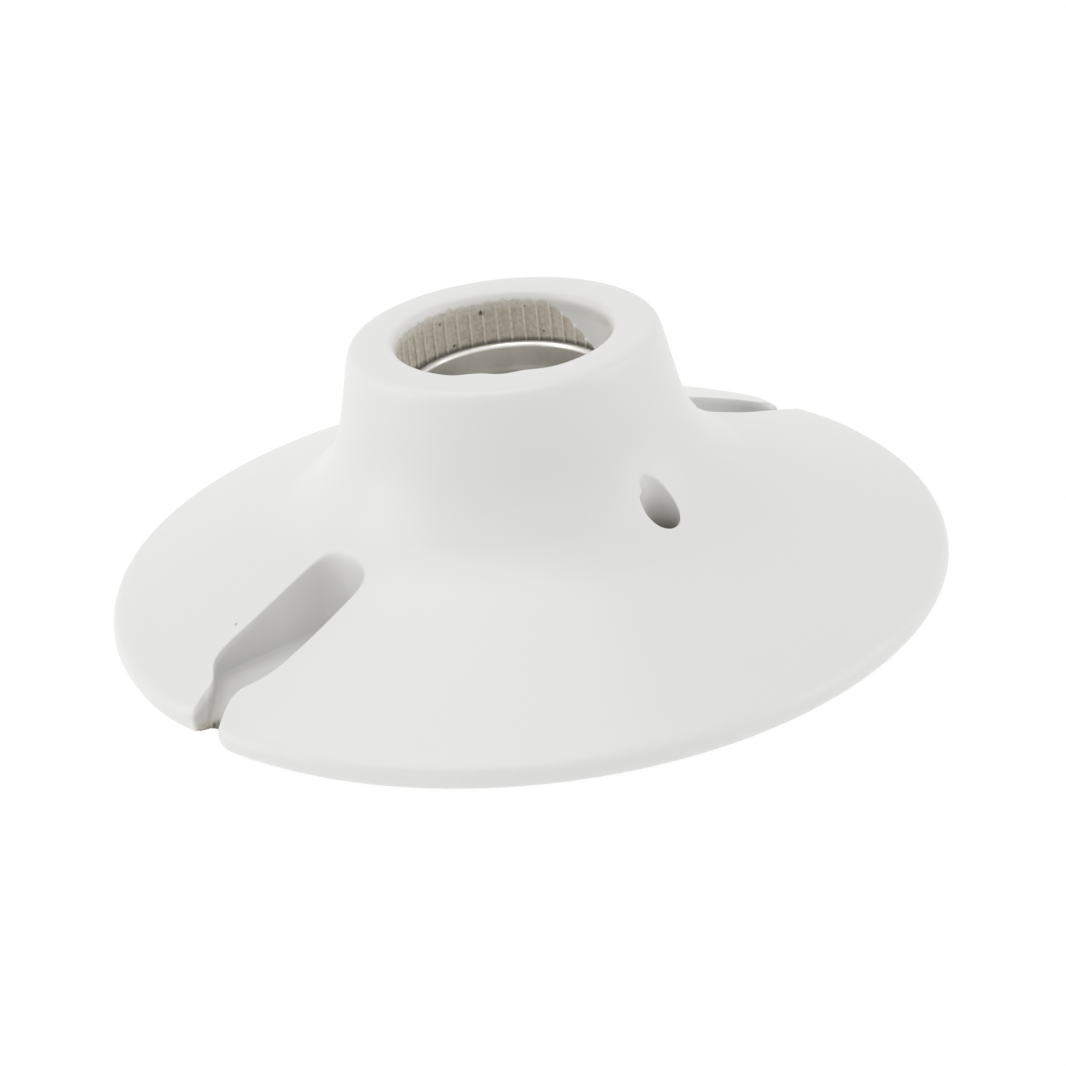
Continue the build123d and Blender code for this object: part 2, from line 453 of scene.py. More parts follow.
slotLobe = changed(slotPlain, {
    ("rim", 59.6): {1: (58.9, 5.4, -0.3), 2: (59.3, 6.9)},
    ("rim", 59.95): {1: (59.25, 5.2, -0.25), 2: (59.6, 7.0)},
    ("rim", 60.0): {1: (59.4, 5.3, 0.1), 2: (59.66, 7.05)},
    ("rim", 59.83): {1: (59.3, 4.9, 0.3), 2: (59.48, 7.0)},
    ("rim", 59.35): {1: (59.0, 4.7, 0.4), 2: (59.02, 6.9)},
    ("skin", 58.54): {1: (58.4, 4.3, 0.5), 2: (58.05, 6.8)},
    ("skin", 57.2): {1: (57.2, 3.7, 0.3), 2: (56.7, 6.5)},
    ("skin", 55.8): {1: (55.8, 3.05), 2: (55.3, 5.9)},
    ("skin", 54.6): {1: (54.6, 2.7), 2: (54.0, 5.0)},
    ("skin", 53.6): {1: (53.4, 2.65), 2: (52.1, 3.45)},
    ("skin", 50.5): {2: (50.6, 4.45)},
    ("skin", 48.4): {2: (48.4, 5.1)},
    ("skin", 46.7): {2: (45.8, 5.35)},
    ("skin", 44.5): {2: (43.3, 5.5)},
    ("skin", 39.7): {2: (39.5, 5.6)},
    ("skin", 34.9): {2: (35.2, 5.6)},
    ("skin", 32.7): {2: (33.7, 5.35)},
    ("skin", 31.5): {1: (31.45, 2.2), 2: (32.2, 4.4)},
    ("foot", 59.0): {0: (58.9, 0.2), 1: (58.4, 5.3), 2: (58.65, 6.8)},
    ("foot", 57.2): {0: (58.2, 0.4), 1: (58.1, 3.5), 2: (56.7, 6.2)},
    ("foot", 55.8): {0: (57.8, 0.6), 1: (57.7, 2.9)},
    ("foot", 54.9): {0: (57.5, 0.7), 1: (57.3, 2.4)},
    ("ceiling", 53.1): {0: (57.1, 0.8), 1: (56.9, 2.0)},
})
farPlain = changed(slotPlain, {
    ("skin", 54.6): {1: (54.5, 1.95)},
    ("skin", 53.6): {1: (53.6, 2.0), 2: (52.4, 2.55)},
    ("skin", 50.5): {1: (51.2, 1.6), 2: (50.6, 2.9)},
    ("skin", 48.4): {1: (48.4, 1.9), 2: (48.4, 3.4)},
    ("skin", 46.7): {1: (46.2, 2.15), 2: (46.0, 3.9)},
    ("skin", 44.5): {2: (43.5, 4.6)},
    ("skin", 32.7): {2: (32.9, 5.4)},
    ("skin", 31.5): {1: (31.4, 2.4), 2: (31.5, 5.0)},
})
farLobe = changed(slotLobe, {
    ("rim", 59.6): {1: (59.1, 3.9)},
    ("rim", 59.95): {1: (59.3, 4.0)},
    ("rim", 60.0): {1: (59.4, 4.0, 0.1)},
    ("rim", 59.83): {1: (59.3, 4.2, 0.4)},
    ("rim", 59.35): {1: (59.0, 4.4, 0.6)},
    ("skin", 58.54): {1: (58.3, 4.2, 0.6)},
    ("skin", 57.2): {1: (57.1, 3.5, 0.35)},
    ("foot", 59.0): {1: (58.8, 3.8)},
})
slotSides = {(-1, 1): slotPlain, (-1, -1): slotLobe, (1, -1): farPlain, (1, 1): farLobe}


def flangeHeight(radius):
    slope = math.tan(math.radians(porcelain["flangeSlope"]))
    return porcelain["rimCorner"] + (porcelain["flangeRadius"] - radius) * slope


def skinHeight(radius):
    # cone outside, cove inside
    inner, outer = porcelain["coveSpan"]
    if radius >= outer:
        return flangeHeight(radius)
    across, along = porcelain["coveCentre"]
    return along - math.sqrt(porcelain["coveRadius"] ** 2 - (across - max(radius, inner)) ** 2)


def ceilingHeight(radius):
    drop = porcelain["hollowWall"] / math.cos(math.radians(porcelain["flangeSlope"]))
    return min(porcelain["hollowHeight"], flangeHeight(radius) - drop)


def lineOffset(zone, radius, line):
    # how far the first few lines stand from the X axis
    under = porcelain["underLines"][line]
    top = porcelain["topLines"][line]
    if zone in ("under", "ceiling"):
        return under
    if zone == "foot":
        share = (radius - cage["footFrom"]) / cage["footRun"]
        return under + (top - under) * max(0, min(1, share))
    return top


def lineAngle(zone, radius, line):
    shortest = cage["shortestHidden"] if zone in hiddenZones else cage["shortestSeen"]
    reach = max(radius, shortest)
    last = len(porcelain["topLines"]) - 1
    if line <= last:
        return math.asin(lineOffset(zone, reach, line) / reach)
    start = math.asin(lineOffset(zone, reach, last) / reach)
    return start + (math.pi / 2 - start) * (line - last) / (porcelain["quarterLines"] - last)


def shiftedRadius(zone, radius, line):
    # loops keep clear of the access holes on Y and of the recesses on X
    first, last = cage["shiftLines"]
    share = max(0, min(1, (line - first) / (last - first)))
    low, high = cage["outerLoops"]
    if zone == "skin" and low < radius < high:
        return radius + cage["outerShift"] * share
    low, high = cage["holeLoops"]
    if zone in ("skin", "ceiling") and low < radius < high:
        return radius - cage["holeShift"] * (1 - share)
    return radius


def quarterPoint(loop, line, sides):
    # the place of a loop's point on a line of one quarter, as if in the first
    zone, radius, height, slotHeight = loop
    lines = porcelain["quarterLines"]
    slotPlaces = slotSides[sides]
    name = (zone, radius)
    ring = access["ring"]
    slant = ring * math.sqrt(0.5)
    middle = access["terminal"]
    holePlaces = {}
    for loopRadius, side in zip(access["loops"], (-1, 0, 1)):
        holePlaces[(loopRadius, lines)] = (0, middle + side * ring)
        holePlaces[(loopRadius, lines - 1)] = (slant if side else ring, middle + side * slant)
    letDown = 0
    if line in slotPlaces.get(name, {}):
        x, y, *more = slotPlaces[name][line]
        letDown = sum(more)
    elif zone in ("skin", "ceiling") and (radius, line) in holePlaces:
        x, y = holePlaces[(radius, line)]
    else:
        reach = shiftedRadius(zone, radius, line)
        angle = lineAngle(zone, reach, line)
        before = lineAngle(zone, reach, line - 1) if line else -lineAngle(zone, reach, 1)
        if line < lines:
            after = lineAngle(zone, reach, line + 1)
        else:
            after = math.pi - lineAngle(zone, reach, line - 1)
        # subdivision draws a ring in, so its cage stands out by as much
        reach *= 6 / (4 + math.cos(angle - before) + math.cos(after - angle))
        x = reach * math.cos(angle)
        y = reach * math.sin(angle)
    if line == lines:
        x = 0
    spread = math.hypot(x, y)
    if zone == "skin":
        height = skinHeight(spread)
    elif zone in hiddenZones and line <= cage["slotLines"]:
        height = slotHeight
    elif zone == "ceiling":
        height = ceilingHeight(spread)
    return x, y, height - letDown


def loopSections():
    # the half section that is spun, before its points are placed
    sections = []
    for zone, radius, height, slotHeight in porcelainLoops:
        sections.append((radius, skinHeight(radius) if height is None else height))
    return sections


def placeCage(body):
    lines = porcelain["quarterLines"]
    step = math.tau / (4 * lines)
    sections = [Vector(section) for section in loopSections()]
    hollow = body.data.attributes.new("hollow", "FLOAT", "POINT")
    for vertex in body.data.vertices:
        x, y, z = vertex.co / mm
        radius = math.hypot(x, y)
        if radius < 0.001:
            continue
        here = Vector((radius, z))
        nearest = min(range(len(sections)), key=lambda index: (sections[index] - here).length)
        turn = round(math.atan2(y, x) / step) % (4 * lines)
        fold = turn % (2 * lines)
        line = min(fold, 2 * lines - fold)
        sideX = 1 if lines > turn or turn > 3 * lines else -1
        sideY = 1 if turn <= 2 * lines else -1
        loop = porcelainLoops[nearest]
        zone, loopRadius = loop[:2]
        px, py, pz = quarterPoint(loop, line, (sideX, sideY))
        if zone == "neck" and turn in lipBeads and loopRadius in beadShares:
            inwards, upwards = (share * lipBeads[turn] for share in beadShares[loopRadius])
            px *= 1 - inwards / loopRadius
            py *= 1 - inwards / loopRadius
            pz += upwards
        vertex.co = Vector((sideX * px, sideY * py, pz)) * mm
        hollow.data[vertex.index].value = zone in hiddenZones


def pickFaces(body, test, add=False):
    # select faces by their middle, in millimetres, and their normal
    mesh = bmesh.from_edit_mesh(body.data)
    for face in mesh.faces:
        chosen = test(face.calc_center_median() / mm, face.normal)
        face.select_set(chosen or (add and face.select))
    mesh.select_flush_mode()
    bmesh.update_edit_mesh(body.data)


def pickEdges(body, test):
    mesh = bmesh.from_edit_mesh(body.data)
    bpy.ops.mesh.select_all(action="DESELECT")
    for edge in mesh.edges:
        if test(edge):
            edge.select_set(True)
    bmesh.update_edit_mesh(body.data)


def flattenTo(height):
    bpy.ops.transform.resize(value=(1, 1, 0), center_override=(0, 0, height * mm))


def inGap(centre, plainReach):
    # the lobe's side flares towards the rim
    lobe = centre.x * centre.y > 0
    flare = pick["lobeFlare"] * max(0, abs(centre.x) - pick["flareFrom"])
    return abs(centre.y) < (pick["lobeHalf"] + flare if lobe else plainReach)


def inSlot(centre, normal):
    # recess and gap, on the skin and the rim
    x = abs(centre.x)
    y = abs(centre.y)
    low, high = pick["recessSpan"]
    if x < high:
        top = centre.z > pick["recessLow"] and normal.z > pick["recessFacing"]
        cornerLow, cornerHigh = pick["recessCorners"]
        half = pick["recessHalf"] if cornerLow <= x <= cornerHigh else pick["cornerHalf"]
        return top and x > low and y < half
    return inGap(centre, pick["gapHalf"]) and pick["footLevel"] < centre.z < pick["gapTop"]


def inGapFoot(centre, normal):
    under = centre.z < pick["footLevel"]
    return under and abs(centre.x) > pick["footFrom"] and inGap(centre, pick["footHalf"])


def besideInnerEnd(place):
    # just past the recess's inner end, on the skin; place is in metres
    low, high = pick["innerEdge"]
    beside = low < abs(place.x) / mm < high and abs(place.y) < pick["innerHalf"] * mm
    return beside and place.z > pick["innerLow"] * mm


def onEndWall(centre, normal):
    # what the push down leaves standing between recess and gap
    middle = abs(centre.x) > pick["endFrom"] and abs(centre.y) < pick["endHalf"]
    return middle and abs(normal.x) > pick["endFacing"] and centre.z > recess["ledge"]


def sinkRecesses(body):
    # a soft edge all round, then the gap goes and the recess is pushed down to its ledge
    soft = porcelain["softEdge"] * mm
    gapFrom = recess["gapFrom"] * mm
    ledge = recess["ledge"]
    pickFaces(body, inSlot)
    bpy.ops.mesh.inset(thickness=soft, use_outset=True)
    mesh = bmesh.from_edit_mesh(body.data)
    part = mesh.faces.layers.int.new("slotPart")
    for face in mesh.faces:
        if face.select:
            face[part] = 1 if abs(face.calc_center_median().x) < gapFrom else 2
    for face in mesh.faces:
        face.select_set(face[part] == 2)
    bmesh.update_edit_mesh(body.data)
    pickFaces(body, inGapFoot, add=True)
    bpy.ops.mesh.delete(type="FACE")
    mesh = bmesh.from_edit_mesh(body.data)
    part = mesh.faces.layers.int["slotPart"]
    for face in mesh.faces:
        face.select_set(face[part] == 1)
    bmesh.update_edit_mesh(body.data)
    extrude((0, 0, -soft))
    mesh = bmesh.from_edit_mesh(body.data)
    softFrom = recess["softInner"] * mm
    for vertex in mesh.verts:
        if vertex.select:
            vertex.co.z -= max(0, softFrom - abs(vertex.co.x))
        elif besideInnerEnd(vertex.co):
            vertex.co.x *= recess["innerPull"]
            vertex.co.z = skinHeight(vertex.co.xy.length / mm) * mm
    for height in (ledge + recess["wallFoot"], ledge):
        extrude((0, 0, -soft / 10))
        flattenTo(height)
    bpy.ops.mesh.inset(thickness=recess["floorSupport"] * mm)
    pickFaces(body, onEndWall)
    bpy.ops.mesh.delete(type="ONLY_FACE")
    selectBy("EDGE")
    pickEdges(body, lambda edge: not edge.link_faces)
    bpy.ops.mesh.delete(type="EDGE")
    selectBy("FACE")


def closeGaps(body):
    # each side wall is a grid from skin to foot, the end wall drops from the ledge
    mesh = bmesh.from_edit_mesh(body.data)
    places = {}
    gapFrom, gapHalf = pick["gapArea"]
    for vertex in mesh.verts:
        if abs(vertex.co.x) > gapFrom * mm and abs(vertex.co.y) < gapHalf * mm:
            places[tuple(round(value / mm, 2) for value in vertex.co)] = vertex

    def vertexAt(x, y, z):
        spot = Vector((x, y, z))
        return places[min(places, key=lambda key: (Vector(key) - spot).length)]

    ledge = recess["ledge"]
    upperNames = [("skin", radius) for radius in (53.6, 54.6, 55.8, 57.2, 58.54)]
    lowerNames = [("ceiling", 53.1), ("foot", 54.9), ("foot", 55.8), ("foot", 57.2), ("foot", 59.0)]
    rimNames = [("rim", radius) for radius in (59.35, 59.83, 60.0, 59.95, 59.6)]
    for sideX in (1, -1):
        ends = []
        for sideY in (1, -1):
            loopAt = {loop[:2]: quarterPoint(loop, 1, (sideX, sideY)) for loop in porcelainLoops}
            cornerX, cornerY, cornerTop = loopAt[upperNames[0]]
            steps = (cornerTop - porcelain["softEdge"], ledge + recess["wallFoot"], ledge)

            def sideVertex(name):
                x, y, z = loopAt[name]
                return vertexAt(sideX * x, sideY * y, z)

            grid = []
            for upperName, lowerName in zip(upperNames, lowerNames):
                high = sideVertex(upperName)
                low = sideVertex(lowerName)
                if not grid:
                    between = [vertexAt(sideX * cornerX, sideY * cornerY, step) for step in steps]
                    ends.append((between[-1], low))
                else:
                    shares = [step / cornerTop for step in steps]
                    between = [mesh.verts.new(low.co.lerp(high.co, share)) for share in shares]
                grid.append([high, *between, low])
            rows = range(len(steps) + 1)
            for column, following in zip(grid, grid[1:]):
                for row in rows:
                    corners = (column[row], column[row + 1], following[row + 1], following[row])
                    mesh.faces.new(corners)
            cap = [sideVertex(name) for name in rimNames]
            last = grid[-1]
            for row in rows:
                mesh.faces.new((last[row + 1], last[row], cap[row], cap[row + 1]))
        middleHigh = vertexAt(sideX * slotPlain[("skin", 53.6)][0][0], 0, ledge)
        x, y = slotLobe[("ceiling", 53.1)][0]
        middleLow = vertexAt(sideX * x, sideX * y, 0)
        for high, low in ends:
            mesh.faces.new((high, middleHigh, middleLow, low))
    bmesh.update_edit_mesh(body.data)


def sharpenFeet(body):
    # the end wall of each gap keeps a crisp lower edge
    selectBy("EDGE")

    def atFoot(place):
        outside = pick["footFrom"] * mm < abs(place.x) and abs(place.y) < pick["creaseHalf"] * mm
        return outside and place.z < pick["creaseLevel"] * mm

    def onFoot(edge):
        low = all(atFoot(vertex.co) for vertex in edge.verts)
        leastAngle = math.radians(pick["creaseAngle"])
        return low and len(edge.link_faces) == 2 and edge.calc_face_angle() > leastAngle

    bmesh.from_edit_mesh(body.data).normal_update()
    pickEdges(body, onFoot)
    bpy.ops.transform.edge_crease(value=recess["footCrease"])
    selectBy("FACE")


def bridgeEdges(body, test):
    selectBy("EDGE")

    def onHole(edge):
        middle = (edge.verts[0].co + edge.verts[1].co) / 2 / mm
        return edge.is_boundary and test(middle)

    pickEdges(body, onHole)
    bpy.ops.mesh.bridge_edge_loops()
    selectBy("FACE")


def openHoles(body):
    # long holes go from the ledge to the foot plane, access holes from the cove to the hollow
    def inLongHole(centre, normal):
        level = abs(centre.z - recess["ledge"]) < pick["level"] or abs(centre.z) < pick["level"]
        inSpan = recess["holeFrom"] < abs(centre.x) < recess["holeTo"]
        return level and inSpan and abs(centre.y) < recess["holeHalf"]

    pickFaces(body, inLongHole)
    bpy.ops.mesh.inset(thickness=recess["holeEdge"] * mm, use_outset=True)
    bpy.ops.mesh.delete(type="FACE")
    for side in (1, -1):
        bridgeEdges(body, lambda middle: side * middle.x > pick["slotSide"])

    def nearTerminal(centre):
        return math.hypot(centre.x, abs(centre.y) - access["terminal"]) < access["reach"]

    def onCove(centre, normal):
        return nearTerminal(centre) and normal.z > facesUp and centre.z > pick["accessLow"]

    facesUp, facesDown = pick["accessFacing"]
    pickFaces(body, onCove)
    bpy.ops.mesh.inset(thickness=access["softEdge"] * mm, use_outset=True)
    extrude((0, 0, -access["wallTop"] * mm))
    bpy.ops.mesh.delete(type="FACE")
    pickFaces(body, lambda centre, normal: nearTerminal(centre) and normal.z < facesDown)
    bpy.ops.mesh.inset(thickness=access["softEdge"] * mm, use_outset=True)
    bpy.ops.mesh.delete(type="FACE")
    for side in (1, -1):
        bridgeEdges(body, lambda middle: side * middle.y > pick["accessSide"])


def chipHole(body):
    # a smooth bulge of the edge, strongest at the spot
    spot = Vector(chip["spot"]) * mm
    for vertex in body.data.vertices:
        share = max(0, 1 - (vertex.co - spot).length / (chip["reach"] * mm))
        vertex.co += Vector(chip["move"]) * mm * share * share * (3 - 2 * share)


def softenPads(body):
    selectBy("EDGE")
    side = porcelain["underLines"][3]

    def onPad(place):
        atSide = abs(abs(place.y) / mm - side) < pick["padSide"]
        return atSide and abs(place.z) < pick["level"] * mm and abs(place.x) < pick["padTo"] * mm

    pickEdges(body, lambda edge: all(onPad(vertex.co) for vertex in edge.verts))
    bpy.ops.mesh.bevel(offset=porcelain["padEdge"] * mm, segments=2, affect="EDGES")
    selectBy("FACE")


ribs = {
    "count": 48,
    "low": 8.0,
    "high": 34.4,
    "wall": 15.5,
    "tip": 15.05,
    "tipSteps": (0.24, 0.06),
    "halfWidths": (0.34, 0.24, 0.13),
    "halfway": 20,
    "underGlaze": 0.1,
    "smoothAngle": 50,
}


def buildRibs():
    # one rib on X, then its copies round the bore; glaze that has run down covers some of their tops
    wall = ribs["wall"]
    tip = ribs["tip"]
    wide, middle, narrow = ribs["halfWidths"]
    outStep, inStep = ribs["tipSteps"]
    side = [(wall, wide), (tip + outStep, middle), (tip + inStep, narrow), (tip, 0)]
    section = [(across, -half) for across, half in side]
    section += [(across, half) for across, half in side[-2::-1]]
    points = [Vector((across, along, ribs["low"])) * mm for across, along in section]
    rib = drawOutline("ribs", points)
    bpy.ops.mesh.edge_face_add()
    rise = (ribs["high"] - ribs["low"]) * mm
    extrude((0, 0, rise))
    selectMesh()
    bpy.ops.mesh.normals_make_consistent(inside=False)
    copies = ribs["count"] - 1
    sweep = math.tau * copies / ribs["count"]
    bpy.ops.mesh.spin(steps=copies, dupli=True, angle=sweep, axis=(0, 0, 1))
    enter("OBJECT")
    for vertex in rib.data.vertices:
        if vertex.co.z > ribs["halfway"] * mm:
            turn = math.degrees(math.atan2(vertex.co.y, vertex.co.x))
            vertex.co.z = min(vertex.co.z, (glazeLine(turn) - ribs["underGlaze"]) * mm)
    smoothBy(ribs["smoothAngle"])
    return rib


glaze = {
    "white": (0.80, 0.797, 0.783),
    # a lighter white, painted light on the glazed wall inside the bore
    "boreLight": (0.91, 0.907, 0.893),
    "hollow": (0.70, 0.675, 0.615),
    "bare": (0.715, 0.665, 0.57),
    # a lighter clay, painted highlight on the rib crests
    "ribCrestHighlight": (0.86, 0.83, 0.765),
    # near black of the sooty specks, also used for painted shade and painted shadow
    "sootAndShade": (0.06, 0.055, 0.05),
    "rust": (0.34, 0.27, 0.16),
    # grey of the painted shade inside the slots
    "slotShade": (0.44, 0.435, 0.40),
    "line": 35.2,
    "runDrop": 6.6,
    "runFrom": 24.0,
    "runTo": -5.0,
    "runBack": (-50.0, -80.0),
    "scallop": 0.2,
    "wander": 0.9,
    "edgeFade": 0.3,
    "roughness": 0.30,
    "bareRoughness": 0.86,
    "shellShade": 0.6,
    "holeShade": 0.85,
    "speckAndShadowDark": 0.9,
    "slotShadeMost": 0.53,
    "speckRadius": 15.75,
    "speckLift": 0.25,
}

# where each finish and each painted shade or light starts and where it is full: radius, height,
# distance or depth under the cone
zones = {
    "boreRadius": (15.8, 15.65),
    "boreHeight": (5.0, 6.5),
    "tipRadius": (15.32, 15.1),
    "shellHeight": (29.3, 28.6),
    "wellHeight": (8.5, 12.0),
    "boreLightRadius": (15.9, 15.5),
    "boreLightLow": (26.0, 27.0),
    "boreLightTop": (36.1, 34.9),
    "slotShadeRun": (40.0, 58.0),
    "slotShadeSide": (6.8, 5.6),
    "slotShadeDepth": (0.5, 1.5),
    "slotShadeRadius": (59.3, 58.5),
    "holeRadius": (2.85, 2.7),
    "holeHeight": (15.4, 11.2),
}

# how often each noise repeats in a millimetre, and how high its relief is
scales = {"wander": 0.25, "cloud": 0.045, "grain": 1.6, "stray": 0.9, "ragged": 2.6}
scales |= {"ripple": 0.11, "pin": 0.7}
relief = {"ripple": 0.05, "pin": 0.003, "grain": 0.05}

# sooty specks in the bore: turn in degrees, height, size
boreSpecks = [
    (83.9, 33.35, 0.36),
    (60.2, 33.43, 0.55),
    (28.2, 29.9, 0.34),
    (76.5, 29.4, 0.4),
    (37.0, 33.9, 0.26),
]

# specks and stains elsewhere, and a painted shadow in the crevice at the near gap's foot: place, size,
# strength
skinSpecksAndShadow = [
    ((-45.9, 7.51, 7.91), 0.35, 0.6),
    ((-32.32, 3.11, 13.81), 0.4, 0.55),
    # painted shadow in the crevice where the near gap's wall meets the foot
    ((-56.7, -0.7, 0.5), 0.9, 0.95),
    ((-9.75, -11.2, 36.0), 1.1, 0.4),
]
rustSpots = [
    ((-57.9, 0.1, 0.2), 1.3, 0.5),
    ((-56.6, -1.0, 0.7), 1.6, 0.55),
]


def glazeLine(turn):
    # height of the glaze's lower edge in the bore; on one side the glaze has run down the wall
    backStart, backEnd = glaze["runBack"]
    run = max(0, min(1, (glaze["runFrom"] - turn) / (glaze["runFrom"] - glaze["runTo"])))
    back = max(0, min(1, (turn - backEnd) / (backStart - backEnd)))
    return glaze["line"] - glaze["runDrop"] * run * back


def toned(name, share):
    return [part * share for part in glaze[name]]


def paintPorcelain():
    paint = Paint(bpy.data.materials.new("glazedPorcelain"))
    place, x, y, z = paint.places()

    def within(value, name):
        return paint.step(value, *zones[name])

    radius = (x * x + y * y) ** 0.5
    turn = y.math("ARCTAN2", x) * math.degrees(1)

    # bare clay below the glaze's scalloped edge
    backStart, backEnd = glaze["runBack"]
    run = paint.ramp(turn, glaze["runFrom"], glaze["runTo"])
    back = paint.ramp(turn, backEnd, backStart)
    scallop = (turn * math.radians(ribs["count"])).math("COSINE") * glaze["scallop"]
    wander = (paint.noise(place, scales["wander"]) - 0.5) * glaze["wander"]
    line = glaze["line"] - run * back * glaze["runDrop"] - scallop + wander
    inBore = within(radius, "boreRadius") * within(z, "boreHeight")
    bareBore = inBore * paint.step(line - z, 0.0, glaze["edgeFade"])
    hollow = paint.node("Attribute", {"attribute_name": "hollow"}, {}, "Fac")

    # colour
    cloud = paint.noise(place, scales["cloud"], 3)
    grain = paint.noise(place, scales["grain"], 4, 0.65)
    white = paint.mix(cloud * 0.7 + grain * 0.3, toned("white", 0.982), glaze["white"])
    sandy = paint.step(grain, 0.33, 0.67)
    clay = paint.mix(sandy, toned("bare", 0.86), toned("bare", 1.1))
    # painted highlight: the bare rib crests are lighter
    tip = within(radius, "tipRadius") * (0.45 + 0.55 * paint.step(grain, 0.35, 0.6))
    clay = paint.mix(tip, clay, glaze["ribCrestHighlight"])
    # painted shade on the bare bore wall behind the screw shell
    beside = within(z, "shellHeight") * within(z, "wellHeight")
    clay = paint.mix(beside * glaze["shellShade"], clay, glaze["sootAndShade"])
    under = paint.mix(grain, toned("hollow", 0.93), glaze["hollow"])
    colour = paint.mix(hollow, white, under)
    # painted light: the glazed wall inside the bore is made whiter
    boreLight = within(radius, "boreLightRadius") * within(z, "boreLightLow")
    boreLight = boreLight * within(z, "boreLightTop")
    colour = paint.mix(boreLight, colour, glaze["boreLight"])
    colour = paint.mix(bareBore, colour, clay)

    # painted shade in the slots and down the access holes
    coneDepth = flangeHeight(0) - radius * math.tan(math.radians(porcelain["flangeSlope"])) - z
    # darker further out along the slot and deeper under the cone: painted shade
    slotShade = paint.ramp(x.math("ABSOLUTE"), *zones["slotShadeRun"], glaze["slotShadeMost"])
    slotShade = slotShade * within(y.math("ABSOLUTE"), "slotShadeSide")
    slotShade = slotShade * within(coneDepth, "slotShadeDepth") * within(radius, "slotShadeRadius")
    colour = paint.mix(slotShade, colour, glaze["slotShade"])
    # the access holes' walls darken towards the bottom: painted shade
    offAxis = y.math("ABSOLUTE") - access["terminal"]
    fromHole = (x * x + offAxis * offAxis) ** 0.5
    holeShadeMask = within(fromHole, "holeRadius") * within(z, "holeHeight")
    colour = paint.mix(holeShadeMask * glaze["holeShade"], colour, glaze["sootAndShade"])

    # stains and specks, and a painted shadow in the crevice at the near gap's foot
    inputs = {"Vector": place, "Scale": scales["ragged"], "Detail": 2.0}
    shift = {0: paint.node("TexNoise", {}, inputs, "Color"), 1: (0.8, 0.8, 0.5), 2: place}
    ragged = paint.node("VectorMath", {"operation": "MULTIPLY_ADD"}, shift)
    mottle = paint.step(grain, 0.36, 0.62)
    for spot, size, strength in rustSpots:
        stain = paint.near(place, spot, 0.2 * size, size) * (0.35 + 0.65 * mottle)
        colour = paint.mix(stain * strength, colour, glaze["rust"])
    sootAndShade = paint.step(paint.noise(place, scales["stray"], 1), 0.80, 0.84) * bareBore
    for degrees, height, size in boreSpecks:
        angle = math.radians(degrees)
        reach = glaze["speckRadius"]
        spot = (reach * math.cos(angle), reach * math.sin(angle), height + glaze["speckLift"])
        sootAndShade = sootAndShade.math("MAXIMUM", paint.near(ragged, spot, 0.3 * size, size))
    for spot, size, strength in skinSpecksAndShadow:
        blot = paint.near(place, spot, 0.3 * size, size) * (0.5 + 0.5 * mottle)
        sootAndShade = sootAndShade.math("MAXIMUM", blot * strength)
    colour = paint.mix(sootAndShade * glaze["speckAndShadowDark"], colour, glaze["sootAndShade"])

    # gloss and surface
    bare = bareBore.math("MAXIMUM", hollow)
    roughness = glaze["roughness"] + 0.06 * cloud
    roughness = roughness + bare * (glaze["bareRoughness"] - glaze["roughness"])
    ripple = paint.noise(place, scales["ripple"], 2) * relief["ripple"]
    ripple = ripple + paint.noise(place, scales["pin"], 1) * relief["pin"]
    normal = paint.bump(ripple + grain * bare * relief["grain"])
    paint.dress("Principled BSDF", {"Base Color": colour, "Roughness": roughness, "Normal": normal})
    return paint


def buildPorcelain():
    corners = [(*section, 0) for section in loopSections()]
    body = spun("porcelain", corners, 4 * porcelain["quarterLines"])
    placeCage(body)
    enter("EDIT")
    selectBy("FACE")
    sinkRecesses(body)
    closeGaps(body)
    selectMesh()
    bpy.ops.mesh.fill_holes(sides=4)
    openHoles(body)
    softenPads(body)
    selectMesh()
    bpy.ops.mesh.remove_doubles(threshold=weld)
    bpy.ops.mesh.normals_make_consistent(inside=False)
    sharpenFeet(body)
    mesh = bmesh.from_edit_mesh(body.data)
    print("open edges:", sum(not edge.is_manifold for edge in mesh.edges))
    enter("OBJECT")
    levels = porcelain["smoothLevels"]
    applyModifier(body, "SUBSURF", levels=levels, render_levels=levels)
    chipHole(body)
    bpy.ops.object.shade_smooth()
    ribPiece = buildRibs()
    makeActive(body)
    ribPiece.select_set(True)
    bpy.ops.object.join()
    wear(body, paintPorcelain())
    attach(body, "holder")
    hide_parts("porcelain_body")
    print("porcelain body:", len(body.data.polygons), "faces")


buildPorcelain()


# Metal finishes

metals = {
    "shellBright": (0.79, 0.775, 0.75),
    "shellDull": (0.64, 0.62, 0.585),
    "brassBright": (0.74, 0.56, 0.29),
    "brassTarnish": (0.54, 0.40, 0.21),
    "steelBright": (0.66, 0.65, 0.62),
    "steelDull": (0.44, 0.42, 0.385),
}


def paintMetal(name, bright, dull, streak, gloss, patchSize):
    # streak stretches the drawing marks, gloss is the roughness of the bright parts
    paint = Paint(bpy.data.materials.new(name))
    place, x, y, z = paint.places()
    patch = paint.step(paint.noise(place, 1 / patchSize, 4, 0.6), 0.35, 0.7)
    marks = paint.noise(paint.stretched(place, streak), 1.0, 3, 0.6)
    colour = paint.mix(patch * 0.75 + marks * 0.15, metals[bright], metals[dull])
    roughness = gloss + 0.16 * patch + 0.1 * marks
    normal = paint.bump(marks * 0.006 + patch * 0.004)
    sockets = {"Base Color": colour, "Roughness": roughness, "Metallic": 1.0, "Normal": normal}
    paint.dress("Principled BSDF", sockets)
    return paint


